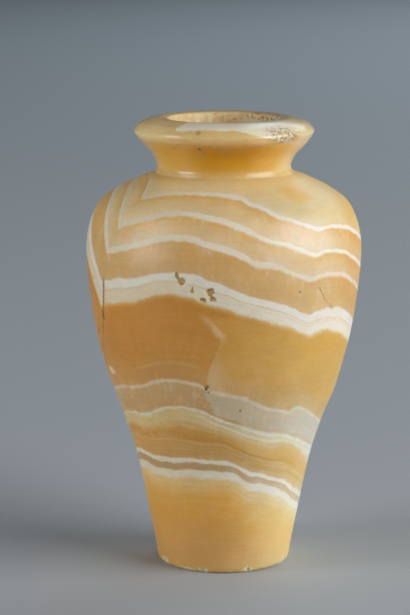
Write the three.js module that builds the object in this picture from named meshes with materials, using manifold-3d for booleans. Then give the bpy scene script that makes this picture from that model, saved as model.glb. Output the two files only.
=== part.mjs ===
// A shouldered jar of banded alabaster, turned and drilled from one block of stone.
// Millimetres, +Z up. The origin is the middle of the flat underside, and the jar's best side faces -Y.
import * as THREE from "three";
import { mergeVertices } from "three/addons/utils/BufferGeometryUtils.js";
import Module from "manifold-3d";

// Driving dimensions
const HEIGHT = 175;
const FOOT_RADIUS = 25.8;
const FOOT_BEVEL = 1.2;
const BELLY_RADIUS = 53.5;
const BELLY_HEIGHT = 125;
const ROOT_RADIUS = 26.6; // where the shoulder meets the neck
const ROOT_HEIGHT = 153.8;
const NECK_RADIUS = 25.9;
const LIP_RADIUS = 34.8;
const LIP_HEIGHT = 170.2; // the widest ring of the lip
const CREST_RADIUS = 25.5; // the highest ring of the lip
const MOUTH_RADIUS = 20.6;
const BORE_RADIUS = 20.2; // the drilled hole through the neck
const WALL = 9.5; // thickness at the belly
const FLOOR = 17; // thickness of the bottom
const SEGMENTS = 64; // facets around the axis

const point = (radius, height) => new THREE.Vector2(radius, height);

const along = (points, steps) => new THREE.SplineCurve(points).getPoints(steps);

// From the edge of the foot, in a slow S, out to the belly and over the shoulder to the neck.
function bodyProfile() {
  const rise = BELLY_HEIGHT;
  const swell = BELLY_RADIUS - FOOT_RADIUS;
  return along(
    [
      point(FOOT_RADIUS, FOOT_BEVEL),
      point(FOOT_RADIUS + 0.13 * swell, 0.16 * rise),
      point(FOOT_RADIUS + 0.3 * swell, 0.34 * rise),
      point(FOOT_RADIUS + 0.5 * swell, 0.48 * rise),
      point(FOOT_RADIUS + 0.74 * swell, 0.625 * rise),
      point(FOOT_RADIUS + 0.91 * swell, 0.79 * rise),
      point(BELLY_RADIUS, BELLY_HEIGHT),
      point(BELLY_RADIUS - 0.14 * swell, BELLY_HEIGHT + 15.2),
      point(BELLY_RADIUS - 0.42 * swell, BELLY_HEIGHT + 22.3),
      point(BELLY_RADIUS - 0.72 * swell, BELLY_HEIGHT + 26.2),
      point(ROOT_RADIUS, ROOT_HEIGHT),
    ],
    26,
  );
}

// The short waisted neck, flaring into the underside of the lip.
function neckProfile() {
  const flare = LIP_RADIUS - NECK_RADIUS;
  return along(
    [
      point(ROOT_RADIUS, ROOT_HEIGHT),
      point(NECK_RADIUS, ROOT_HEIGHT + 2.8),
      point(NECK_RADIUS + 0.22 * flare, ROOT_HEIGHT + 7.5),
      point(NECK_RADIUS + 0.64 * flare, LIP_HEIGHT - 4.9),
      point(LIP_RADIUS - 1, LIP_HEIGHT - 2.3),
    ],
    8,
  );
}

// The broad lip: a blunt edge, and a top that rises in a low curve to the crest and turns into the mouth.
function lipProfile() {
  return along(
    [
      point(LIP_RADIUS - 1, LIP_HEIGHT - 2.3),
      point(LIP_RADIUS, LIP_HEIGHT),
      point(LIP_RADIUS - 2.2, LIP_HEIGHT + 2.6),
      point(0.45 * LIP_RADIUS + 0.55 * CREST_RADIUS, HEIGHT - 0.9),
      point(CREST_RADIUS, HEIGHT),
      point(MOUTH_RADIUS + 1.6, HEIGHT - 0.5),
      point(MOUTH_RADIUS, HEIGHT - 2),
    ],
    12,
  );
}

// The inside: a straight drilled bore through the neck, and a hollow that follows the body down to a round floor.
function insideProfile() {
  const hollowRadius = BELLY_RADIUS - WALL;
  const hollow = along(
    [
      point(BORE_RADIUS, ROOT_HEIGHT - 3.5),
      point(0.75 * BORE_RADIUS + 0.25 * hollowRadius, ROOT_HEIGHT - 7.8),
      point(0.4 * BORE_RADIUS + 0.6 * hollowRadius, BELLY_HEIGHT + 15.5),
      point(0.93 * hollowRadius, BELLY_HEIGHT + 8),
      point(hollowRadius, BELLY_HEIGHT - 8),
      point(0.88 * hollowRadius, 0.63 * BELLY_HEIGHT),
      point(0.66 * hollowRadius, 0.43 * BELLY_HEIGHT),
      point(0.45 * hollowRadius, 0.25 * BELLY_HEIGHT),
      point(0.28 * hollowRadius, FLOOR + 2),
      point(0, FLOOR),
    ],
    18,
  );
  return [point(BORE_RADIUS, HEIGHT - 4.5), ...hollow];
}

function jarProfile() {
  return [
    point(0, 0),
    point(FOOT_RADIUS - FOOT_BEVEL, 0),
    ...bodyProfile(),
    ...neckProfile().slice(1),
    ...lipProfile().slice(1),
    ...insideProfile(),
  ];
}

const wasm = await Module();
wasm.setup();

function toSolid(geometry) {
  geometry.deleteAttribute("normal");
  geometry.deleteAttribute("uv");
  const merged = mergeVertices(geometry, 1e-4);
  return new wasm.Manifold(
    new wasm.Mesh({
      numProp: 3,
      vertProperties: merged.attributes.position.array,
      triVerts: new Uint32Array(merged.index.array),
    }),
  );
}

function toGeometry(solid) {
  const mesh = solid.getMesh();
  const geometry = new THREE.BufferGeometry();
  geometry.setAttribute("position", new THREE.BufferAttribute(mesh.vertProperties, 3));
  geometry.setIndex(new THREE.BufferAttribute(mesh.triVerts, 1));
  geometry.computeVertexNormals();
  return geometry;
}

// The chips around the foot's edge. Bearings are degrees from the front, growing towards the jar's +X side.
const FOOT_CHIPS = [
  { bearing: -66, width: 5, depth: 1.3 },
  { bearing: -17, width: 3.6, depth: 1 },
  { bearing: 24, width: 3, depth: 0.9 },
  { bearing: 69, width: 5.5, depth: 1.5 },
  { bearing: 141, width: 4, depth: 1.1 },
  { bearing: -132, width: 4.6, depth: 1.2 },
];

// A chip is scooped out by a blunt lens of stone, set across the foot's lower edge.
function footChip({ bearing, width, depth }) {
  const angle = THREE.MathUtils.degToRad(bearing);
  const reach = FOOT_RADIUS - depth + width / 2;
  const lens = new THREE.IcosahedronGeometry(width / 2, 1);
  lens.scale(1, 1, 0.6);
  lens.rotateZ(angle);
  lens.translate(reach * Math.sin(angle), -reach * Math.cos(angle), 0.1);
  return toSolid(lens);
}

function jarSolid() {
  const turned = new THREE.LatheGeometry(jarProfile(), SEGMENTS);
  turned.rotateX(Math.PI / 2);
  return FOOT_CHIPS.map(footChip).reduce((jar, chip) => jar.subtract(chip), toSolid(turned));
}

const alabaster = new THREE.MeshStandardMaterial({ color: 0xd09a55, roughness: 0.42, metalness: 0 });

const jar = new THREE.Mesh(toGeometry(jarSolid()), alabaster);
jar.name = "vase";

const part = new THREE.Group();
part.add(jar);

export default part;
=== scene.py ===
# A shouldered jar of banded alabaster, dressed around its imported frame.
# Metres, +Z up. The jar stands on its flat foot with its axis on Z, and its best side faces -Y.
import math

import bmesh
import bpy
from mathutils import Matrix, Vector, noise


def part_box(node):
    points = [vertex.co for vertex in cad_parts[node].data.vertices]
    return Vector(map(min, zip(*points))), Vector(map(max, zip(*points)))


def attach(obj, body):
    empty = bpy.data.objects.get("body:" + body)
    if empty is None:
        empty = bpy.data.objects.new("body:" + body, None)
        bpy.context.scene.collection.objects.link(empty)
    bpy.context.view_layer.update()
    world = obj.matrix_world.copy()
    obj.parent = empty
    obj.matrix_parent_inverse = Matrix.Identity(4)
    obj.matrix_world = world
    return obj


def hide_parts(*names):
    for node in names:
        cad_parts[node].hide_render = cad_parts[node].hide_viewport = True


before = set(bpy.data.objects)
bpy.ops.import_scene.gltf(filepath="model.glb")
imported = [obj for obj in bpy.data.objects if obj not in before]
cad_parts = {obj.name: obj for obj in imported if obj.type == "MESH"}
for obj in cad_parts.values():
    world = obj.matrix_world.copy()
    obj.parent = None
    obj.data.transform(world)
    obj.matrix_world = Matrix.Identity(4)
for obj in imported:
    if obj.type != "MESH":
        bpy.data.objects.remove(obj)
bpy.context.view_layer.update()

# The jar is one piece, turned and drilled from a block of banded alabaster: a tapering body, a full
# shoulder, a waisted neck and a broad lip. It has lost small chips round its foot, and pits have opened
# in its widest vein.
MM = 0.001
lowest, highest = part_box("vase")
HEIGHT = (highest.z - lowest.z) / MM
BELLY_RADIUS = (highest.x - lowest.x) / 2 / MM
BELLY_HEIGHT = 125
FOOT_RADIUS = 25.8
FOOT_BEVEL = 1.2
ROOT_RADIUS = 26.6  # where the shoulder meets the neck
ROOT_HEIGHT = 153.8
NECK_RADIUS = 25.9
LIP_RADIUS = 34.8
LIP_HEIGHT = 170.2  # the widest ring of the lip
CREST_RADIUS = 25.5  # the highest ring of the lip
MOUTH_RADIUS = 20.6
BORE_RADIUS = 20.2
WALL = 9.5
FLOOR = 17
TURNS = 288  # facets round the axis


def along(points, steps):
    """Points on a smooth curve through the given ones."""
    spans = len(points) - 1
    held = [Vector(p) for p in (points[0], *points, points[-1])]
    curve = []
    for step in range(steps + 1):
        place = step / steps * spans
        i = min(int(place), spans - 1)
        t = place - i
        a, b, c, d = held[i:i + 4]
        bend = 2 * a - 5 * b + 4 * c - d
        curve.append((2 * b + (c - a) * t + bend * t ** 2 + (3 * b - a - 3 * c + d) * t ** 3) / 2)
    return curve


def body_outline():
    swell = BELLY_RADIUS - FOOT_RADIUS
    points = [
        (FOOT_RADIUS, FOOT_BEVEL),
        (FOOT_RADIUS + 0.13 * swell, 0.16 * BELLY_HEIGHT),
        (FOOT_RADIUS + 0.3 * swell, 0.34 * BELLY_HEIGHT),
        (FOOT_RADIUS + 0.5 * swell, 0.48 * BELLY_HEIGHT),
        (FOOT_RADIUS + 0.74 * swell, 0.625 * BELLY_HEIGHT),
        (FOOT_RADIUS + 0.91 * swell, 0.79 * BELLY_HEIGHT),
        (BELLY_RADIUS, BELLY_HEIGHT),
        (BELLY_RADIUS - 0.14 * swell, BELLY_HEIGHT + 15.2),
        (BELLY_RADIUS - 0.42 * swell, BELLY_HEIGHT + 22.3),
        (BELLY_RADIUS - 0.72 * swell, BELLY_HEIGHT + 26.2),
        (ROOT_RADIUS, ROOT_HEIGHT),
    ]
    return along(points, 110)


def neck_outline():
    flare = LIP_RADIUS - NECK_RADIUS
    points = [
        (ROOT_RADIUS, ROOT_HEIGHT),
        (NECK_RADIUS, ROOT_HEIGHT + 2.8),
        (NECK_RADIUS + 0.22 * flare, ROOT_HEIGHT + 7.5),
        (NECK_RADIUS + 0.64 * flare, LIP_HEIGHT - 4.9),
        (LIP_RADIUS - 1, LIP_HEIGHT - 2.3),
    ]
    return along(points, 22)


def lip_outline():
    points = [
        (LIP_RADIUS - 1, LIP_HEIGHT - 2.3),
        (LIP_RADIUS, LIP_HEIGHT),
        (LIP_RADIUS - 2.2, LIP_HEIGHT + 2.6),
        (0.45 * LIP_RADIUS + 0.55 * CREST_RADIUS, HEIGHT - 0.9),
        (CREST_RADIUS, HEIGHT),
        (MOUTH_RADIUS + 1.5, HEIGHT - 0.3),
        (MOUTH_RADIUS + 0.3, HEIGHT - 0.9),
        (MOUTH_RADIUS, HEIGHT - 2),
        (BORE_RADIUS, HEIGHT - 4.5),
    ]
    return along(points, 40)


def inside_outline():
    hollow = BELLY_RADIUS - WALL
    points = [
        (BORE_RADIUS, ROOT_HEIGHT - 3.5),
        (0.75 * BORE_RADIUS + 0.25 * hollow, ROOT_HEIGHT - 7.8),
        (0.4 * BORE_RADIUS + 0.6 * hollow, BELLY_HEIGHT + 15.5),
        (0.93 * hollow, BELLY_HEIGHT + 8),
        (hollow, BELLY_HEIGHT - 8),
        (0.88 * hollow, 0.63 * BELLY_HEIGHT),
        (0.66 * hollow, 0.43 * BELLY_HEIGHT),
        (0.45 * hollow, 0.25 * BELLY_HEIGHT),
        (0.28 * hollow, FLOOR + 2),
        (0, FLOOR),
    ]
    bore = [Vector((BORE_RADIUS, ROOT_HEIGHT + lift)) for lift in (12, 7, 2)]
    return bore + along(points, 44)


def outline():
    """The jar's whole section, from the middle of its underside out, up, over the lip and down inside."""
    rim = FOOT_RADIUS - FOOT_BEVEL
    underside = [Vector((radius, 0)) for radius in (0, 0.5 * rim, rim - 1, rim)]
    return underside + body_outline() + neck_outline()[1:] + lip_outline()[1:] + inside_outline()


# Bearings are degrees from the front, growing towards +X. Widths, heights and depths are millimetres.
PITS = [
    {"bearing": -17.1, "height": 119.3, "width": 3.2, "tall": 3.0, "depth": 0.7},
    {"bearing": -18.9, "height": 121.3, "width": 1.6, "tall": 3.0, "depth": 0.5},
    {"bearing": -12.7, "height": 115.7, "width": 1.5, "tall": 1.6, "depth": 0.35},
    {"bearing": -5.4, "height": 115.4, "width": 3.0, "tall": 3.4, "depth": 0.7},
    {"bearing": -8.4, "height": 112.6, "width": 2.6, "tall": 1.5, "depth": 0.5},
    {"bearing": -4.4, "height": 112.9, "width": 2.4, "tall": 2.2, "depth": 0.5},
    {"bearing": 32.2, "height": 114.1, "width": 1.2, "tall": 1.3, "depth": 0.4},
    {"bearing": -7.6, "height": 78.4, "width": 1.5, "tall": 1.7, "depth": 0.7},
    {"bearing": 128, "height": 121, "width": 3.4, "tall": 3.0, "depth": 0.8},
    {"bearing": -151, "height": 96, "width": 2.6, "tall": 3.2, "depth": 0.7},
    {"bearing": 171, "height": 60, "width": 3.0, "tall": 2.4, "depth": 0.6},
]
FOOT_CHIPS = [
    {"bearing": -64, "width": 5, "depth": 1.3, "tall": 3.2},
    {"bearing": -33, "width": 5, "depth": 0.5, "tall": 1.8},
    {"bearing": -25, "width": 4.6, "depth": 0.4, "tall": 1.6},
    {"bearing": -17, "width": 3.6, "depth": 1, "tall": 2.4},
    {"bearing": 21.5, "width": 4.4, "depth": 0.9, "tall": 2.6},
    {"bearing": 67, "width": 5.5, "depth": 1.5, "tall": 3.0},
    {"bearing": 141, "width": 4, "depth": 1.1, "tall": 2.4},
    {"bearing": -132, "width": 4.6, "depth": 1.2, "tall": 2.8},
]


# The grinding left the jar a little fuller on its +X side: (height, spread, bulge).
SWELLINGS = [(164, 3.5, 0.7), (152.5, 2.0, 0.9), (68, 6, 0.6)]


def bearing_of(point):
    return math.degrees(math.atan2(point.x, -point.y))


def from_pit(point, pit):
    """How far a point of the jar's face, in millimetres, is from a pit's middle: 1 is the pit's edge."""
    reach = math.hypot(point.x, point.y)
    turn = (bearing_of(point) - pit["bearing"] + 180) % 360 - 180
    aside = math.radians(turn) * reach / (pit["width"] / 2)
    up = (point.z - pit["height"]) / (pit["tall"] / 2)
    return math.hypot(aside, up)


def chip_middle(chip):
    reach = FOOT_RADIUS - chip["depth"] + chip["width"] / 2
    turn = math.radians(chip["bearing"])
    return Vector((reach * math.sin(turn), -reach * math.cos(turn), 0.1))


def is_outside(vertex):
    """True on the jar's outer face and lip, False in its bore and hollow."""
    return vertex.normal.x * vertex.co.x + vertex.normal.y * vertex.co.y > 0 or vertex.co.z > 171


def refine(shell):
    """Gives the pits and the foot's chipped edge a finer mesh to be carved in."""
    for reach in (1.9, 1.5):
        shell.normal_update()
        near = []
        for edge in shell.edges:
            middle = (edge.verts[0].co + edge.verts[1].co) / 2
            if middle.y > 0.03 and middle.z > 4:
                continue
            chipped = middle.z < 4 and any((middle - chip_middle(c)).length < c["width"] for c in FOOT_CHIPS)
            pitted = is_outside(edge.verts[0]) and any(from_pit(middle, pit) < reach for pit in PITS)
            if chipped or pitted:
                near.append(edge)
        bmesh.ops.subdivide_edges(shell, edges=near, cuts=1, use_grid_fill=True)


def carve(shell):
    """Sinks the pits, scoops the foot's chips and leaves the face a little uneven, as hand grinding does."""
    pitted = shell.verts.layers.float.new("pitted")
    chipped = shell.verts.layers.float.new("chipped")
    shell.normal_update()
    moves = []
    for vertex in shell.verts:
        point = vertex.co
        move = Vector()
        if is_outside(vertex) and point.z > 4:
            move += vertex.normal * 0.08 * (noise.noise(point / 21) - 1)
            lean = max(0, point.x / math.hypot(point.x, point.y)) ** 3
            for height, spread, bulge in SWELLINGS:
                move += Vector((lean * bulge * math.exp(-(((point.z - height) / spread) ** 2)), 0, 0))
            for pit in PITS:
                far = from_pit(point, pit)
                if far < 1.5:
                    far += 0.45 * noise.noise(point * 0.9)
                    sink = min(1, max(0, 1.25 - far) / 0.75)
                    ragged = 1 + 0.5 * noise.noise(point * 1.7)
                    move -= vertex.normal * pit["depth"] * ragged * sink * sink * (3 - 2 * sink)
                    vertex[pitted] = max(vertex[pitted], sink)
        elif point.z < 4:
            for chip in FOOT_CHIPS:
                away = point - chip_middle(chip)
                squash = 2 * chip["tall"] / chip["width"]
                away.z /= squash
                reach = chip["width"] / 2 * (1 + 0.3 * noise.noise(point * 0.8))
                if 0 < away.length < reach:
                    away *= reach / away.length - 1
                    away.z = max(away.z * squash, -point.z)
                    vertex[chipped] = min(1, away.length * 4)
                    move += away
        moves.append(move)
    for vertex, move in zip(shell.verts, moves):
        vertex.co += move


def turned_jar():
    shell = bmesh.new()
    section = [shell.verts.new((point.x, 0, point.y)) for point in outline()]
    lines = [shell.edges.new(pair) for pair in zip(section, section[1:])]
    around = {"cent": (0, 0, 0), "axis": (0, 0, 1), "angle": 2 * math.pi}
    bmesh.ops.spin(shell, geom=section + lines, steps=TURNS, use_merge=True, **around)
    bmesh.ops.remove_doubles(shell, verts=shell.verts, dist=0.0005)
    bmesh.ops.recalc_face_normals(shell, faces=shell.faces)
    refine(shell)
    carve(shell)
    bmesh.ops.scale(shell, vec=(MM, MM, MM), verts=shell.verts)
    mesh = bpy.data.meshes.new("jar")
    shell.to_mesh(mesh)
    shell.free()
    mesh.shade_smooth()
    piece = bpy.data.objects.new("jar", mesh)
    bpy.context.scene.collection.objects.link(piece)
    return piece


class Reading:
    """Something that changes over the stone, held as a socket. Arithmetic on it adds Math nodes."""

    def __init__(self, finish, socket):
        self.finish = finish
        self.socket = socket

    def __add__(self, other):
        return self.finish.math("ADD", self, other)

    def __sub__(self, other):
        return self.finish.math("SUBTRACT", self, other)

    def __rsub__(self, other):
        return self.finish.math("SUBTRACT", other, self)

    def __mul__(self, other):
        return self.finish.math("MULTIPLY", self, other)

    def __truediv__(self, other):
        return self.finish.math("DIVIDE", self, other)

    __radd__ = __add__
    __rmul__ = __mul__


class Finish:
    """A material whose nodes are added as expressions ask for them."""

    def __init__(self, name):
        self.material = bpy.data.materials.new(name)
        self.material.use_nodes = True
        self.tree = self.material.node_tree
        self.tree.nodes.clear()

    def add(self, kind, settings=None, sockets=None, output=0):
        """Adds a node with its settings and its sockets' values or links, and returns one of its outputs."""
        node = self.tree.nodes.new("ShaderNode" + kind)
        for name, value in (settings or {}).items():
            if name == "stops":
                self.set_stops(node.color_ramp.elements, value)
            elif name == "course":
                self.set_course(node.mapping, value)
            else:
                setattr(node, name, value)
        for key, value in (sockets or {}).items():
            if isinstance(value, Reading):
                self.tree.links.new(value.socket, node.inputs[key])
            else:
                node.inputs[key].default_value = value
        return Reading(self, node.outputs[output]) if node.outputs else None

    def set_stops(self, elements, stops):
        while len(elements) < len(stops):
            elements.new(1)
        for element, (position, colour) in zip(elements, stops):
            element.position = position
            element.color = (*colour, 1)

    def set_course(self, mapping, points):
        mapping.use_clip = False
        mapping.extend = "HORIZONTAL"
        line = mapping.curves[0].points
        while len(line) < len(points):
            line.new(1, 1)
        for held, place in zip(line, points):
            held.location = place
            held.handle_type = "AUTO_CLAMPED"
        mapping.update()

    def math(self, operation, first, second=0.0):
        return self.add("Math", {"operation": operation}, {0: first, 1: second})

    def root(self, value):
        return self.math("SQRT", value)

    def most(self, first, second):
        return self.math("MAXIMUM", first, second)

    def smooth(self, value, low, high):
        """Goes from 0 at low to 1 at high, which may be the smaller, and eases in and out."""
        sockets = {"Value": value, "From Min": low, "From Max": high}
        return self.add("MapRange", {"interpolation_type": "SMOOTHSTEP"}, sockets)

    def linear(self, value, low, high):
        return self.add("MapRange", {}, {"Value": value, "From Min": low, "From Max": high})

    def within(self, value, low, high, soft):
        """1 between low and high, and 0 outside, with soft edges."""
        return self.smooth(value, low - soft, low + soft) * self.smooth(value, high + soft, high - soft)

    def course(self, value, low, high, rise, points):
        """A smooth line through (value, height) points: values from low to high, heights within rise."""
        inside = [((at - low) / (high - low), (height + rise) / (2 * rise)) for at, height in points]
        share = self.add("FloatCurve", {"course": inside}, {"Value": self.linear(value, low, high)})
        return share * (2 * rise) - rise

    def mix(self, share, first, second):
        second = second if isinstance(second, Reading) else (*second, 1)
        first = first if isinstance(first, Reading) else (*first, 1)
        return self.add("Mix", {"data_type": "RGBA"}, {0: share, 6: first, 7: second}, 2)

    def blend(self, share, first, second):
        return first + (second - first) * share

    def shade(self, colour, value, saturation=1.0):
        return self.add("HueSaturation", {}, {"Color": colour, "Value": value, "Saturation": saturation})

    def tint(self, share, colour, change):
        """Multiplies a colour, which may brighten it."""
        settings = {"data_type": "RGBA", "blend_type": "MULTIPLY"}
        return self.add("Mix", settings, {0: share, 6: colour, 7: (*change, 1)}, 2)

    def stretched(self, place, stretch):
        return self.add("VectorMath", {"operation": "MULTIPLY"}, {0: place, 1: stretch})

    def vector(self, x, y, z):
        return self.add("CombineXYZ", {}, {0: x, 1: y, 2: z})

    def clouds(self, place, size, detail=2.0, roughness=0.5):
        """Soft noise about 0, mostly within a half either way, with lumps of the given size."""
        sockets = {"Vector": place, "Scale": 1 / size, "Detail": detail, "Roughness": roughness}
        return self.add("TexNoise", {}, sockets) - 0.5

    def near(self, place, middle, width, tall):
        """How far a place is from a spot's middle: 1 is the spot's edge."""
        away = self.add("VectorMath", {"operation": "SUBTRACT"}, {0: place, 1: middle})
        away = self.stretched(away, (2 / width, 2 / width, 2 / tall))
        return self.add("VectorMath", {"operation": "LENGTH"}, {0: away}, "Value")


# The layers' waves where the block is cut, each at its own level: (distance across the waves, rise).
WAVE_SPAN, WAVE_RISE = 60, 15
WAVES = [
    (31, [(-60, 2), (-30, 0.4), (-19, -2.4), (-12.9, -2.2), (-8, -1), (-2, -0.3), (3.5, 0.9),
          (10.5, 1.8), (16, -0.3), (21.5, 0.8), (27, 0.6), (31, -1.5), (60, -2)]),
    (41, [(-60, -1), (-33, -1), (-24, -3.2), (-18, -2.6), (-12.3, -1.7), (-2, -1.4), (7.7, -0.2), (12, -0.8),
          (18.4, -2.0), (23.6, -1.7), (29.4, -0.3), (36, -3.2), (60, -3)]),
    (49.7, [(-60, -2.6), (-36, -2.7), (-25, -3), (-19, -1), (-13, 0.8), (-6, 1.8), (-1, 1.7), (6, 0.3),
            (15, -0.3), (24, 0.1), (30, 2.3), (35, 1.5), (60, 0)]),
    (61, [(-60, -5), (-37, -4.4), (-29, -4.3), (-23, -2.7), (-17, -0.8), (-12, 0.2), (-6, 0.8), (-1, 1),
          (4, -0.4), (16, 0), (24, -0.9), (31, 0.3), (36, 4.2), (40, 3.2), (60, 2)]),
    (95, [(-60, -7), (-40, -5.2), (-33, -4.4), (-26, -3.9), (-20, -2), (-14.7, 0.1), (-9, 1.3),
          (-2.6, 1.2), (4, 0.5), (13, 0), (17, -0.6), (27, 0), (33, 0), (38, -0.5), (42, 2.4),
          (47.5, 6.5), (50.5, 7), (60, 4)]),
    (100, [(-60, -8), (-40, -6.3), (-33, -5.3), (-26, -4.3), (-20, -2.8), (-14.7, -1.1), (-9, 0.3),
           (-4, 1), (-0.6, 1.5), (4, 0.8), (11.5, -0.3), (15.2, -1.5), (18.9, -2.4), (22.6, -2.2),
           (26.2, -1.6), (30, -1.1), (34, -1), (38, -1.7), (42, 1.2), (47.5, 5.8), (50.5, 6.9), (60, 4)]),
    (113, [(-60, -12), (-38, -8.6), (-30, -6.3), (-22, -3.5), (-15, -0.9), (-8, 0.8), (-2, 1.3), (5, 0.5),
           (12, 0), (18, -0.8), (22.4, -2.4), (29, -0.8), (37, -1.2), (40.5, -1), (43.5, 1.8), (48, 5.6),
           (51.5, 7.6), (60, 6)]),
    (124, [(-60, -12.5), (-38, -8.8), (-30, -7), (-23.7, -4.3), (-19.3, -2.9), (-15, -1.1),
           (-10.8, 0), (-6.6, 0.9), (-1, 1.3), (6, 1.1), (12, 0.5), (20, -0.9), (24, -2.2), (27, -3),
           (33, -1.7), (37, -1.8), (41, -2), (45, 1.5), (49, 4.7), (52, 6.4), (60, 5)]),
    (136, [(-60, -14), (-24.5, -8.7), (-16.5, -5), (-8, -2.7), (0, -1.1), (7, -0.2), (13, 0),
           (19, -2), (23, -2.4), (27, -3.9), (30, -5.2), (36, -5), (42, -4.6), (45, -1.7), (49.5, 1.9),
           (54, 3.5), (60, 3.5)]),
]

# The stone's own colours, from the lowest layer up: (level, colour).
LAYERS = [
    (0, (0.68, 0.385, 0.115)),
    (12, (0.75, 0.405, 0.078)),
    (20, (0.79, 0.46, 0.105)),
    (25.5, (0.82, 0.60, 0.27)),
    (27.5, (0.82, 0.66, 0.38)),
    (30, (0.62, 0.42, 0.20)),
    (32.4, (0.62, 0.42, 0.20)),
    (35, (0.67, 0.42, 0.17)),
    (38, (0.66, 0.39, 0.115)),
    (43.5, (0.645, 0.345, 0.07)),
    (45.5, (0.73, 0.51, 0.19)),
    (48.5, (0.76, 0.60, 0.30)),
    (50.6, (0.64, 0.45, 0.22)),
    (54, (0.62, 0.46, 0.25)),
    (58.5, (0.62, 0.46, 0.25)),
    (61, (0.64, 0.37, 0.12)),
    (66, (0.64, 0.345, 0.09)),
    (70, (0.64, 0.325, 0.065)),
    (89, (0.64, 0.30, 0.042)),
    (91.2, (0.72, 0.46, 0.15)),
    (99.8, (0.70, 0.46, 0.20)),
    (103, (0.68, 0.42, 0.15)),
    (111, (0.69, 0.42, 0.15)),
    (114, (0.75, 0.57, 0.34)),
    (118, (0.74, 0.52, 0.26)),
    (121, (0.74, 0.48, 0.19)),
    (124.8, (0.76, 0.59, 0.35)),
    (130, (0.76, 0.55, 0.27)),
    (134.3, (0.76, 0.47, 0.16)),
    (138, (0.77, 0.63, 0.37)),
    (145, (0.77, 0.59, 0.28)),
    (158, (0.76, 0.54, 0.22)),
]
TOP_LAYER = 190

# The white veins: the levels between which each lies, how softly it ends below and above, and how white.
VEINS = [
    (27.5, 29.8, 1.8, 0.4, 0.95),
    (32.5, 34.4, 0.5, 0.5, 1.0),
    (40.5, 41.1, 0.9, 0.5, 0.18),
    (46.3, 46.9, 1.2, 0.5, 0.28),
    (49.2, 50.2, 0.7, 0.4, 0.9),
    (59.4, 60.3, 1.0, 0.7, 0.62),
    (91.4, 95.9, 1.4, 0.9, 0.85),
    (96.0, 99.6, 0.9, 0.7, 1.0),
    (111.8, 114.1, 1.0, 0.5, 0.95),
    (122.3, 124.6, 0.9, 0.5, 0.95),
    (135.2, 137.5, 1.0, 0.5, 1.0),
]

# How milky and streaked the layers are between the veins: (level, share).
MILK = [(0, 0.1), (24, 0.1), (28, 0.4), (36, 0.15), (44, 0.25), (50, 0.5), (60, 0.5), (66, 0.15),
        (88, 0.04), (98, 0.3), (106, 0.35), (112, 0.6), (118, 0.5), (124, 0.7), (132, 0.5), (140, 0.7),
        (150, 0.3), (160, 0.2)]

# The healed fissure that runs down the front: (height, bearing in degrees).
FISSURE = [(64.4, 4), (66.5, -5), (69.9, -5.8), (74.8, -8.9), (78.1, -8.2), (81.4, -7.6), (85.4, -6.5),
           (89.8, -4.2), (93.4, -2.5), (96.9, -1.2), (98.9, -2), (102.3, -5.3), (105.7, -8.5), (107.5, -11)]
# The fine crack on the left, along the fold, and the one on the right above the widest vein.
LEFT_CRACK = [(80, -75), (88.4, -71.8), (95.2, -66.5), (101.1, -63.6), (107.8, -61), (111.8, -59.9),
              (116, -59)]
RIGHT_CRACK = [(104, 54), (105.9, 52.1), (109.7, 46.7), (112.7, 44.1), (115.2, 42.5), (117, 42)]

# Small dark spots: (middle, width, height, share).
SPOTS = [
    ((-9.2, -30.7, 165.8), 1.8, 1.6, 0.9),
    ((-7.0, -29.5, 164.2), 1.0, 0.8, 0.7),
    ((-9.6, -32.1, 172.0), 2.2, 1.8, 0.45),
    ((-46.0, -22.9, 101.4), 2.2, 4.6, 1.0),
    ((-48.1, -14.0, 93.6), 1.6, 3.0, 0.75),
    ((-49.9, -18.3, 115.4), 1.3, 1.5, 0.6),
    ((-6.5, -45.6, 77.6), 1.6, 1.8, 0.95),
    ((-5.6, -45.3, 76.2), 1.0, 1.2, 0.6),
    ((28.2, -44.9, 114.1), 1.2, 1.2, 0.7),
    ((36.0, -39.0, 114.6), 0.9, 1.2, 0.6),
    ((6.2, -42.4, 68.6), 1.1, 1.3, 0.65),
    ((-46.7, -23.1, 135.4), 1.2, 1.4, 0.5),
    ((-35.1, -39.9, 131.9), 1.3, 1.3, 0.4),
]

# Pale bruises where the foot's edge has been knocked: (middle, width, height).
FOOT_MARKS = [
    ((-22.4, -12.5, 2.0), 6, 3.4),
    ((-13.0, -22.0, 0.8), 9, 1.8),
    ((-8.0, -24.5, 1.2), 5, 2.6),
    ((9.6, -24.0, 1.4), 6, 3.2),
    ((23.8, -9.8, 2.2), 5, 3.4),
    ((-2, 25.8, 1.0), 7, 2.2),
]

# How low the pale layer reaches on the lip, by bearing: (bearing in degrees, height).
PATCH_EDGE = [(-180, 180), (-37, 176), (-32, 172), (-22, 172.6), (4, 172.8), (13.5, 171.9), (24, 170.5),
              (31, 169.5), (43, 167.5), (70, 166), (110, 168), (125, 176), (180, 180)]

# The stone's own tones, apart from its layers. The lip's left tones are painted lighter as painted light, the
# neck's deep amber is partly painted glow, and its deepest amber is painted shade under the lip.
PALE_FOOT = (0.82, 0.67, 0.36)
OLD_LINE = (0.80, 0.58, 0.30)
GREY_BEIGE = (0.65, 0.55, 0.37)
WARM_BEIGE = (0.76, 0.62, 0.40)
ORANGE_LAYER = (0.78, 0.50, 0.17)
FISSURE_BROWN = (0.68, 0.36, 0.11)
FISSURE_WEDGE = (0.72, 0.53, 0.29)
FISSURE_HEALED = (0.80, 0.62, 0.40)
FISSURE_LINE = (0.80, 0.60, 0.33)
MILKY_WHITE = (0.85, 0.74, 0.58)
CREAMY_VEIN = (0.82, 0.74, 0.55)
WHITE_VEIN = (0.89, 0.85, 0.77)
WIDEST_VEIN = (0.86, 0.81, 0.74)
LOWER_LINE = (0.86, 0.80, 0.66)
DULL_SEAM = (0.76, 0.58, 0.29)
SECOND_SEAM = (0.78, 0.60, 0.30)
FINE_SEAM = (0.72, 0.60, 0.42)
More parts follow.
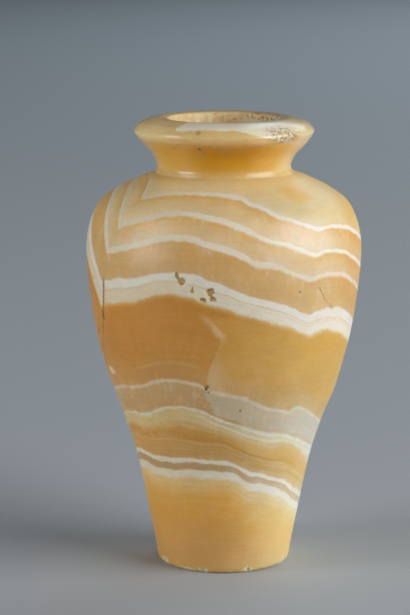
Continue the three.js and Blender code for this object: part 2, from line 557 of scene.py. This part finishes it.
SHOULDER_GOLD = (0.83, 0.50, 0.11)
NECK_ROOT = (0.72, 0.46, 0.165)
NECK_AMBER = (0.75, 0.43, 0.07)
NECK_DEEP_STONE_AND_GLOW = (0.72, 0.37, 0.01)
NECK_DEEPEST_PAINTED_SHADE = (0.65, 0.29, 0.001)
NECK_CREAM = (0.84, 0.70, 0.46)
NECK_STREAK = (0.82, 0.66, 0.38)
LIP_HONEY = (0.76, 0.55, 0.25)
LIP_RIGHT_HONEY = (0.76, 0.61, 0.34)
LIP_LEFT_HONEY_PAINTED_LIGHT = (0.86, 0.68, 0.36)
LIP_LEFT_TOP_PAINTED_LIGHT = (0.91, 0.73, 0.38)
LIP_AMBER = (0.72, 0.44, 0.15)
LIP_CREAM = (0.90, 0.86, 0.70)
LIP_RIGHT_CREAM = (0.71, 0.60, 0.37)
LIP_CLEAR = (0.76, 0.50, 0.18)
# What it has picked up in the ground, and where it is worn or broken.
RUST = (0.74, 0.38, 0.10)
RUSTY_EDGE = (0.66, 0.33, 0.09)
BORE_TAN = (0.66, 0.44, 0.18)
BORE_CREAM = (0.90, 0.79, 0.55)
FAR_LIP_TAN = (0.70, 0.50, 0.24)
SMUDGE = (0.50, 0.27, 0.08)
FRECKLE = (0.40, 0.24, 0.10)
DARK_EARTH = (0.20, 0.11, 0.045)
BROWN_EARTH = (0.44, 0.31, 0.17)
RED_GRAIN = (0.42, 0.20, 0.07)
RED_GRIT = (0.36, 0.18, 0.07)
CRACK_EARTH = (0.24, 0.10, 0.03)
CRACK_STAIN = (0.50, 0.22, 0.07)
PIT_EARTH = (0.58, 0.37, 0.13)
PIT_RIM = (0.24, 0.13, 0.04)
FRESH_BREAK = (0.92, 0.74, 0.50)


def stone_level(stone, x, y, z, place):
    """How high up the block's layers a point lies: they wave and dip, and turn up steeply past a fold."""
    plane = z + 0.25 * x + 0.35 * y
    across = x - 0.2 * y
    wave = None
    below = None
    for level, points in WAVES:
        here = stone.course(across, -WAVE_SPAN, WAVE_SPAN, WAVE_RISE, points)
        wave = here if wave is None else stone.blend(stone.linear(plane, below, level), wave, here)
        below = level
    wave = wave * stone.smooth(plane, 152, 141)
    hidden = stone.smooth(y, 0, 40)
    wander = stone.clouds(place, 26, 1.0) * (1.0 + hidden * 9) + stone.clouds(place, 5, 2.0) * 1.0
    wander += stone.clouds(place, 1.6, 1.0) * 0.3
    gentle = plane - wave + wander
    high = stone.most(z - 120, 0)
    steep = 94.8 + 1.807 * x - 0.11 * y + 0.743 * z - high * high * 0.0223
    steep += stone.smooth(z, 152, 158) * 60 + wander
    return stone.math("MINIMUM", gentle, steep)


def alabaster():
    stone = Finish("alabaster")
    where = stone.add("TexCoord", output="Object")
    place = stone.stretched(where, (1000, 1000, 1000))
    x, y, z = (stone.add("SeparateXYZ", {}, {0: place}, axis) for axis in "XYZ")
    bearing = stone.math("ARCTAN2", x, 0 - y) * math.degrees(1)
    level = stone_level(stone, x, y, z, place)
    grit = stone.clouds(place, 0.5, 1.0)
    specks = stone.clouds(place, 0.9, 1.0)
    mottle = stone.clouds(place, 2.2, 3.0, 0.6)
    cloud = stone.clouds(place, 7, 3.0)
    front = stone.smooth(y, -8, -14)

    # The body of the stone: its layers' colours, fine laminae, grinding lines, warmer and cooler areas, and
    # painted light and shade by side.
    stops = [(at / TOP_LAYER, colour) for at, colour in LAYERS]
    colour = stone.add("ValToRGB", {"stops": stops}, {"Fac": level / TOP_LAYER})
    lower = stone.smooth(level, 62, 50)
    laminae = stone.clouds(stone.vector(x * 0.03, y * 0.03, level), 1.1, 3.0, 0.6)
    ground_lines = stone.clouds(stone.stretched(place, (0.03, 0.03, 1)), 0.7, 2.0)
    foot_zone = stone.smooth(level, 23, 17)
    lined = 0.06 + lower * 0.2 - foot_zone * 0.2
    value = 1 + laminae * lined + cloud * 0.12 + ground_lines * (0.13 + foot_zone * 0.05)
    value += grit * 0.09 + mottle * 0.12
    value += stone.clouds(place, 20, 2.0) * 0.2
    colour = stone.shade(colour, value, 1 - laminae * lined * 1.3)
    below = stone.smooth(level, 100, 90)
    # The left side is painted deeper and more orange, and the right side paler and cooler. This is partly the
    # stone, which is lighter beyond the fissure, and partly painted shade on the left and painted light from
    # the lamp on the right.
    colour = stone.tint(stone.smooth(x, 5, -42) * below, colour, (1.03, 0.94, 0.76))
    right_pale_stone_and_light = stone.smooth(x + cloud * 12, -4, 34)
    colour = stone.tint(right_pale_stone_and_light * below, colour, (1.10, 1.40, 2.15))
    warmth = stone.clouds(place, 5, 3.0, 0.6)
    colour = stone.tint(stone.smooth(warmth, 0.0, 0.3), colour, (1.05, 0.95, 0.82))
    colour = stone.tint(stone.smooth(warmth, 0.0, -0.3), colour, (1.0, 1.05, 1.16))
    top_right_pale_stone_and_light = stone.smooth(level, 96, 104) * right_pale_stone_and_light * stone.smooth(x, 50, 38)
    colour = stone.tint(top_right_pale_stone_and_light, colour, (1.03, 1.08, 1.17))
    colour = stone.tint(stone.within(level, 100, 111, 2) * right_pale_stone_and_light, colour, (1.02, 1.08, 1.2))
    # Painted shade: the right edge, where the jar turns away, is painted darker and more orange.
    painted_edge_shade = stone.smooth(level, 100, 106) * stone.smooth(x + cloud * 6, 39, 49)
    colour = stone.tint(painted_edge_shade, colour, (1.0, 0.89, 0.68))
    upper_middle = stone.within(level, 102, 134, 3) * stone.smooth(x + cloud * 12, 22, 0)
    colour = stone.tint(upper_middle, colour, (1.05, 1.05, 1.03))
    # Painted light: the upper left of the shoulder is painted lighter, as if lit from above.
    painted_light_top_left = stone.smooth(z, 128, 142) * stone.smooth(x + cloud * 14, -8, -30)
    colour = stone.tint(painted_light_top_left, colour, (1.09, 1.12, 1.15))
    low_right = stone.smooth(z, 40, 24) * stone.smooth(x + cloud * 14 + laminae * 6, 0, 20)
    colour = stone.mix(low_right * 0.32, colour, PALE_FOOT)
    old_line = stone.within(level, 66.2, 66.7, 0.6) * stone.within(x, -34, -9, 4)
    colour = stone.mix(old_line * 0.28, colour, OLD_LINE)
    under_line = stone.within(level, 60.8, 65.6, 0.8) * stone.within(x, -36, -7, 5)
    colour = stone.tint(under_line, colour, (0.95, 0.92, 0.9))

    # A fissure runs down the front. Beyond it the amber is lighter, the layer under it greyer, and the
    # one below that more orange.
    crossing = stone.course(z, 60, 110, 30, FISSURE)
    beyond = (bearing - crossing) * 0.86 + grit * 0.5
    tall = stone.within(z, 64, 106, 1.2) * front
    right_side = stone.smooth(beyond, -0.1, 0.7) * tall
    gold = right_side * stone.smooth(beyond, 34, 4) * stone.within(level, 60, 90, 1.5)
    colour = stone.tint(gold, colour, (1.08, 1.17, 1.35))
    beige = right_side * stone.smooth(beyond, 60, 18) * stone.within(level, 50.6, 59.5, 0.6)
    beige_tone = stone.mix(stone.smooth(x + cloud * 8, 8, 24), GREY_BEIGE, WARM_BEIGE)
    colour = stone.mix(beige * 0.7, colour, beige_tone)
    orange = stone.within(level, 42.5, 47, 0.6) * stone.smooth(x + cloud * 12, -2, 14)
    colour = stone.mix(orange * 0.75, colour, ORANGE_LAYER)
    brown = tall * stone.smooth(beyond, 0.4, -1) * stone.within(level, 50.6, 66, 0.6)
    colour = stone.mix(brown * 0.35, colour, FISSURE_BROWN)
    wedge = stone.smooth(stone.near(place, (-4, -47.5, 81), 11, 19) + cloud * 1.2, 1.3, 0.2) * right_side
    colour = stone.mix(wedge * 0.6, colour, FISSURE_WEDGE)

    # Milky streaks that cross the layers, and on the upper right a milky veil that is partly painted sheen.
    milk = stone.course(level, 0, 160, 1, MILK)
    streaks = stone.clouds(stone.vector(x * 0.7, y * 0.7, level * 0.2), 1.2, 3.0, 0.65)
    clotted = stone.smooth(streaks + cloud * 0.8, -0.02, 0.36) * milk
    # On the upper right the milky clouding is partly the stone's and partly a painted sheen of the lamp on
    # the right.
    milk_and_sheen_right = stone.within(level, 125, 136, 2) * stone.smooth(x + cloud * 14, 16, 28) * stone.smooth(x, 44, 36)
    clotted = stone.most(clotted * 0.6, milk_and_sheen_right * (0.4 + mottle * 0.6))
    colour = stone.mix(clotted, colour, MILKY_WHITE)

    # The white veins, creamier on the left, each with a trace of rust along its lower edge.
    fray = stone.clouds(place, 3.4, 2.0)
    thin = stone.smooth(level, 104, 108) * stone.smooth(x, 0, 25) * 0.3
    under = level + fray * 1.5 + mottle * 0.5 + grit * 0.3 - thin
    over = level - fray * 1.3 + mottle * 0.4 + grit * 0.3 + thin
    white = None
    rust = None
    for low, high, soft_low, soft_high, strength in VEINS:
        vein = stone.smooth(under, low - soft_low + 0.1, low + 0.5)
        vein *= stone.smooth(over, high + soft_high, high - 0.5) * strength
        white = vein if white is None else stone.most(white, vein)
        if high - low > 1.4:
            edge = stone.within(under, low - 1.5, low - 0.5, 0.5)
            rust = edge if rust is None else stone.most(rust, edge)
    rust *= stone.smooth(stone.clouds(place, 6, 2.0), -0.05, 0.25)
    colour = stone.mix(rust * 0.45, colour, RUST)
    grain = stone.clouds(stone.vector(x * 0.12, y * 0.12, level), 0.6, 2.0)
    white *= 0.93 + cloud * 0.25 + grain * 0.35 + grit * 0.1
    white *= 1 - stone.within(level, 110, 115.5, 0.5) * stone.smooth(x, 2, 24) * 0.35
    chalk = stone.mix(stone.smooth(x, -35, 35), CREAMY_VEIN, WHITE_VEIN)
    chalk = stone.mix(stone.within(level, 96.4, 99.8, 0.6) * 0.6, chalk, WIDEST_VEIN)
    colour = stone.mix(white, colour, stone.shade(chalk, 1 + grain * 0.12 + mottle * 0.1))
    seam = stone.within(level + mottle * 1.4, 95.7, 96.2, 0.4) * stone.smooth(cloud + mottle, -0.3, 0.25)
    colour = stone.mix(seam * 0.85, colour, DULL_SEAM)
    second = stone.within(level + mottle * 1.4 - x * 0.03, 93.4, 93.7, 0.3)
    second *= stone.smooth(x + cloud * 20, 12, 26)
    colour = stone.mix(second * 0.6, colour, SECOND_SEAM)
    for middle in (112.7, 123.2, 136.1):
        fine_seam = stone.within(level + grit * 0.5, middle, middle + 0.2, 0.3)
        fine_seam *= stone.smooth(cloud + mottle, -0.1, 0.2)
        colour = stone.mix(fine_seam * 0.35, colour, FINE_SEAM)
    lower_line = stone.within(level + grit * 0.3 + fray * 0.6, 47.3, 47.9, 0.45)
    lower_line *= stone.smooth(x + cloud * 10, -14, 2)
    colour = stone.mix(lower_line * 0.8, colour, LOWER_LINE)

    # The whitish healed end of the fissure, and the fine pale line down the rest of it.
    healed = stone.within(z + mottle * 2, 97, 106.5, 1.6) * front
    healed *= stone.within(beyond + mottle * 3, -1, 2.2, 1) * stone.smooth(cloud + mottle, -0.5, 0.1)
    line = stone.within(z, 77, 99, 1.5) * stone.within(beyond, 0.0, 0.5, 0.4) * front
    brightest = 0.3 + stone.within(z, 98, 102.5, 2) * 0.22
    colour = stone.mix(healed * brightest, colour, FISSURE_HEALED)
    colour = stone.mix(line * 0.28, colour, FISSURE_LINE)

    # The neck's amber, partly the stone's and partly painted glow, darkened up under the lip as painted
    # shade, and the pale layer that crosses the top of the lip. The lip's left side is painted lighter as
    # painted light.
    golden = stone.smooth(stone.near(place, (27, -28, 149), 18, 10) + cloud, 1.1, 0.2)
    colour = stone.mix(golden * 0.8, colour, SHOULDER_GOLD)
    root = stone.smooth(z + mottle, 151.5, 154.2)
    colour = stone.mix(root * 0.65, colour, NECK_ROOT)
    neck = stone.within(z + cloud * 3, 156.2, 167.2, 2.6)
    # At the front the neck's amber is deepened: partly the stone's colour, partly painted glow of light
    # through the thin neck.
    deep_front_stone_and_glow = stone.within(bearing + cloud * 24, -22, 26, 13)
    # Painted shade: the neck's amber darkens upwards under the lip.
    painted_shade_under_lip = stone.smooth(z + mottle * 3 + cloud * 3, 157, 164)
    deepest = stone.mix(painted_shade_under_lip, NECK_DEEP_STONE_AND_GLOW, NECK_DEEPEST_PAINTED_SHADE)
    amber = stone.mix(deep_front_stone_and_glow, NECK_AMBER, deepest)
    colour = stone.mix(neck * 0.95, colour, stone.shade(amber, 1 + mottle * 0.15))
    lip = stone.smooth(z + cloud * 2, 166.4, 169.2)
    honey = stone.mix(stone.smooth(x + cloud * 8, 8, 28), LIP_HONEY, LIP_RIGHT_HONEY)
    radius = stone.root(x * x + y * y)
    rings = stone.clouds(stone.vector(radius + x * 0.2, z, x * 0.03), 0.6, 3.0, 0.6)
    # Painted light: the lip's left side, and most of all its top, is painted lighter.
    painted_light_lip_left = stone.smooth(x + cloud * 10, -14, -30)
    honey = stone.mix(painted_light_lip_left * 0.8, honey, LIP_LEFT_HONEY_PAINTED_LIGHT)
    honey = stone.mix(painted_light_lip_left * stone.smooth(z, 169.5, 172) * 0.85, honey, LIP_LEFT_TOP_PAINTED_LIGHT)
    honey = stone.mix(stone.smooth(cloud + mottle, -0.1, 0.35) * 0.3, honey, LIP_AMBER)
    colour = stone.mix(lip, colour, stone.shade(honey, 1 + cloud * 0.3 + grit * 0.12 + rings * 0.25))
    edge = stone.course(bearing, -180, 180, 180, PATCH_EDGE)
    patch = stone.smooth(z - edge + cloud * 0.8 + mottle, -0.3, 0.5) * stone.smooth(y + cloud * 16, 14, 2)
    patch *= stone.smooth(bearing - (z - 172) * 0.8 + mottle * 4, -36.5, -33)
    milky = patch * (0.86 + rings * 0.6 + cloud * 0.5)
    cream = stone.mix(stone.smooth(x + cloud * 6, 12, 30), LIP_CREAM, LIP_RIGHT_CREAM)
    colour = stone.mix(milky, colour, cream)
    clear = stone.smooth(stone.near(place, (27, -21, 168.5), 7, 4) + mottle * 1.5, 1, 0.4)
    colour = stone.mix(clear * 0.5, colour, LIP_CLEAR)
    neck_edge = stone.within(bearing + cloud * 14, 52, 88, 12) * stone.within(z, 155, 167, 2)
    colour = stone.mix(neck_edge * 0.55, colour, NECK_CREAM)
    streak = stone.within(bearing + (z - 162) * 0.9, -36.2, -35.2, 0.8) * stone.within(z, 157, 166, 1.5)
    colour = stone.mix(streak * 0.22, colour, NECK_STREAK)

    # Earth and stains that the jar took up in the ground, and the bore's colour, with painted light in it.
    inside = stone.smooth(radius, 22.4, 20.6) * stone.smooth(z, 146, 150)
    # The bore's mottled tan is also painted paler towards the right and darker towards the left, as painted
    # light and shade.
    bore_mottle_and_painted_light = stone.smooth(mottle + cloud + x * 0.012, -0.35, 0.25)
    tan = stone.mix(bore_mottle_and_painted_light, BORE_TAN, BORE_CREAM)
    colour = stone.mix(inside * 0.85, colour, tan)
    far_lip = stone.smooth(y + cloud * 10, 4, 16) * stone.smooth(z, 171, 173.5)
    colour = stone.mix(far_lip * 0.25, colour, FAR_LIP_TAN)
    under_lip = stone.within(z + cloud * 2.5 + mottle, 165.2, 167.3, 0.8) * stone.within(bearing, -42, 34, 6)
    smudge = under_lip * stone.smooth(cloud + mottle, -0.15, 0.25)
    colour = stone.mix(smudge * 0.7, colour, SMUDGE)
    blots = stone.clouds(place, 1.1, 3.0, 0.7)
    dark = under_lip * stone.smooth(blots, 0.06, 0.16) * 0.7
    mould = stone.smooth(stone.near(place, (23, -25.5, 170.5), 21, 9) + cloud * 0.8, 1.15, 0.5)
    dark = stone.most(dark, mould * stone.smooth(blots, -0.04, 0.12) * 0.8)
    back = stone.smooth(stone.near(place, (16, 12, 174.3), 24, 4.4) + cloud * 0.8, 1.1, 0.7)
    dark = stone.most(dark, back * stone.smooth(blots, -0.05, 0.1) * 0.85)
    back_left = stone.smooth(stone.near(place, (6, 20, 174), 26, 6) + cloud * 0.8, 1.1, 0.7)
    dark = stone.most(dark, back_left * stone.smooth(blots, 0.04, 0.16) * 0.6)
    for middle, wide, high, share in SPOTS:
        spot = stone.smooth(stone.near(place, middle, wide, high) + grit * 0.9, 1.2, 0.6)
        dark = stone.most(dark, spot * share)
    colour = stone.mix(dark, colour, DARK_EARTH)
    freckles = stone.smooth(blots, 0.13, 0.22) * stone.smooth(z + cloud * 8, 134, 144)
    freckles *= stone.smooth(z, 156, 152) * stone.smooth(x + cloud * 30, 10, -12)
    colour = stone.mix(freckles * 0.45, colour, FRECKLE)

    # The fine cracks, with brown earth in them.
    left = stone.course(z, 78, 118, 40, [(at, turn + 60) for at, turn in LEFT_CRACK]) - 60
    beside = (bearing - left) * 0.9 + specks * 0.9
    split = stone.within(beside, -0.32, 0.32, 0.2) * stone.within(z, 84, 116, 1)
    split *= stone.smooth(stone.clouds(place, 3, 1.0) + stone.smooth(z, 92, 108) * 0.5, -0.2, 0.1)
    stain = stone.within(beside, -0.9, 0.9, 0.7) * stone.within(z, 82, 116, 3)
    colour = stone.mix(stain * 0.6, colour, CRACK_STAIN)
    right = stone.course(z, 103, 118, 10, [(at, turn - 48) for at, turn in RIGHT_CRACK]) + 48
    fine = stone.within((bearing - right) * 0.92 + specks * 1.2, -0.16, 0.16, 0.16)
    fine *= stone.within(z, 105.5, 114.5, 0.8)
    colour = stone.mix(stone.most(split * 0.85, fine * 0.75), colour, CRACK_EARTH)

    # Reddish grains scattered in the lower layers and along the fissure's foot.
    grains = stone.smooth(specks + grit * 0.6, 0.17, 0.24)
    fissure_foot = stone.smooth(stone.near(place, (-6.5, -44, 71), 9, 17), 1.1, 0.7)
    zone = stone.within(level, 50.5, 60.5, 0.8) * fissure_foot
    dirty = stone.within(level, 30.2, 32.4, 0.4) * stone.smooth(x + cloud * 12, 8, -4)
    colour = stone.mix(dirty * stone.smooth(mottle + cloud, -0.3, 0.2) * 0.45, colour, BROWN_EARTH)
    zone = stone.most(zone, dirty * 0.9)
    zone = stone.most(zone, stone.within(level, 50.3, 52, 0.4) * stone.within(x, -8, 6, 3))
    zone = stone.most(zone, stone.within(level, 34.5, 39, 1) * stone.smooth(x, 0, -12) * 0.5)
    zone = stone.most(zone, stone.within(level, 50.5, 60, 1) * stone.smooth(x, -18, -26) * 0.35)
    colour = stone.mix(grains * zone * 0.6, colour, RED_GRAIN)
    gritty = stone.smooth(blots, 0.1, 0.2) * stone.smooth(level, 105, 108)
    gritty *= stone.smooth(x + cloud * 30, 2, -20) * stone.within(white, 0.15, 0.75, 0.2)
    colour = stone.mix(gritty * 0.5, colour, RED_GRIT)
    rusty = stone.within(level, 50.4, 51.3, 0.4) * stone.within(x + cloud * 6, -9, 7, 3) * front
    colour = stone.mix(rusty * 0.55, colour, RUSTY_EDGE)

    # Pits with ochre earth in them, bruised and chipped places that show pale.
    pitted = stone.add("Attribute", {"attribute_name": "pitted"}, output="Fac")
    fill = stone.smooth(pitted + grit * 0.3, 0.25, 0.5)
    rim = stone.within(pitted + grit * 0.5 + specks * 1.4, 0.3, 0.5, 0.12)
    ragged = stone.smooth(stone.near(place, (-4.9, -53, 114.6), 8, 8), 1.1, 0.8)
    ragged *= stone.smooth(blots, 0.0, 0.14)
    earth = stone.mix(stone.most(rim * 0.5, ragged), PIT_EARTH, PIT_RIM)
    colour = stone.mix(fill * 0.95, colour, stone.shade(earth, 1 + grit * 0.7))
    bruise = stone.smooth(stone.near(place, (-43.0, -17.1, 78.9), 9.0, 3.8) + specks * 1.3 + mottle, 1.0, 0.6)
    chipped = stone.add("Attribute", {"attribute_name": "chipped"}, output="Fac")
    worn_foot = stone.smooth(z + mottle * 3, 2.0, 0.8) * stone.smooth(cloud + mottle, 0.0, 0.25) * 0.6
    for middle, wide, high in FOOT_MARKS:
        mark = stone.smooth(stone.near(place, middle, wide, high) + specks * 1.6 + mottle, 1.0, 0.6)
        worn_foot = stone.most(worn_foot, mark)
    pale = stone.most(stone.most(bruise, worn_foot), stone.smooth(chipped + grit * 0.4, 0.2, 0.5))
    colour = stone.mix(pale * 0.7, colour, FRESH_BREAK)

    roughness = 0.40 + stone.clouds(place, 3, 3.0) * 0.14 + white * 0.05
    polish = stone.smooth(z, 150, 158)
    roughness -= polish * 0.2
    roughness += stone.most(stone.most(dark, fill), inside) * 0.35
    relief = ground_lines * 0.6 + stone.clouds(place, 0.9, 3.0) * 0.5 - split * 2 - fine * 1.5 - dark * 0.5
    normal = stone.add("Bump", {}, {"Strength": 0.25, "Distance": 0.0002, "Height": relief})
    shader = stone.add("BsdfPrincipled", {"subsurface_method": "RANDOM_WALK"}, {
        "Base Color": colour,
        "Roughness": roughness,
        "Normal": normal,
        "IOR": 1.52,
        "Subsurface Weight": 0.75,
        "Subsurface Radius": (1.0, 0.5, 0.2),
        "Subsurface Scale": 0.010,
    })
    stone.add("OutputMaterial", {}, {"Surface": shader})
    return stone.material


jar = turned_jar()
jar.data.materials.append(alabaster())
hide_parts("vase")
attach(jar, "root")

# The floor is a plain pale surface, painted matt and wide enough to fill the picture. It only stages the
# jar, which stands free on it.
FLOOR_REACH = 9
FLOOR_PAINT = (0.445, 0.48, 0.52)
FLOOR_ROUGHNESS = 0.85
ground = bmesh.new()
bmesh.ops.create_grid(ground, x_segments=1, y_segments=1, size=FLOOR_REACH)
floor_mesh = bpy.data.meshes.new("floor")
ground.to_mesh(floor_mesh)
ground.free()
floor = bpy.data.objects.new("floor", floor_mesh)
bpy.context.scene.collection.objects.link(floor)
paint = Finish("pale floor")
matt = paint.add("BsdfPrincipled", {}, {"Base Color": (*FLOOR_PAINT, 1), "Roughness": FLOOR_ROUGHNESS})
paint.add("OutputMaterial", {}, {"Surface": matt})
floor.data.materials.append(paint.material)

# The light is a wide soft lamp on the right, two weaker ones on the left, one far behind for the floor,
# and a faint even glow all round.
AIM = Vector((0, 0, 0.1))


def soft_lamp(name, bearing, elevation, distance, width, height, watts, colour, aim=AIM):
    turn, lift = math.radians(bearing), math.radians(elevation)
    lamp = bpy.data.lights.new(name, "AREA")
    lamp.shape = "RECTANGLE"
    lamp.size = width
    lamp.size_y = height
    lamp.energy = watts
    lamp.color = colour
    holder = bpy.data.objects.new(name, lamp)
    way = Vector((math.sin(turn) * math.cos(lift), -math.cos(turn) * math.cos(lift), math.sin(lift)))
    holder.location = aim + way * distance
    holder.rotation_euler = way.to_track_quat("Z", "Y").to_euler()
    bpy.context.scene.collection.objects.link(holder)


soft_lamp("key", 68, 20, 2.6, 2.4, 1.7, 74, (1, 0.99, 0.98))
soft_lamp("fill", -66, 4, 2.2, 1.2, 0.6, 20, (0.98, 0.99, 1))
soft_lamp("left glint", -71, 31, 2.2, 0.7, 0.6, 8, (0.98, 0.99, 1))
soft_lamp("far", 180, 90, 2.2, 3, 3, 48, (0.86, 1, 1.08), Vector((1.8, 3.2, 0)))

world = bpy.data.worlds.new("grey room")
world.use_nodes = True
world.node_tree.nodes["Background"].inputs["Color"].default_value = (0.028, 0.03, 0.031, 1)
world.node_tree.nodes["Background"].inputs["Strength"].default_value = 1.0
bpy.context.scene.world = world
bpy.context.scene.view_settings.view_transform = "Standard"

# The camera stands a little less than a metre in front and a little above, looks down, and sees the
# whole jar through a long lens.
CAMERA_DISTANCE = 0.9
CAMERA_HEIGHT = 0.264
CAMERA_DIP = 10.31  # degrees below level
CAMERA_TURN = 0.465  # degrees to the left, which puts the jar a little right of the middle
LENS_LENGTH = 137.1
SENSOR_WIDTH = 36
lens = bpy.data.cameras.new("camera")
lens.lens = LENS_LENGTH
lens.sensor_width = SENSOR_WIDTH
lens.clip_start = 0.01
camera = bpy.data.objects.new("camera", lens)
camera.location = (0, -CAMERA_DISTANCE, CAMERA_HEIGHT)
camera.rotation_euler = (math.radians(90 - CAMERA_DIP), 0, math.radians(CAMERA_TURN))
bpy.context.scene.collection.objects.link(camera)
bpy.context.scene.camera = camera
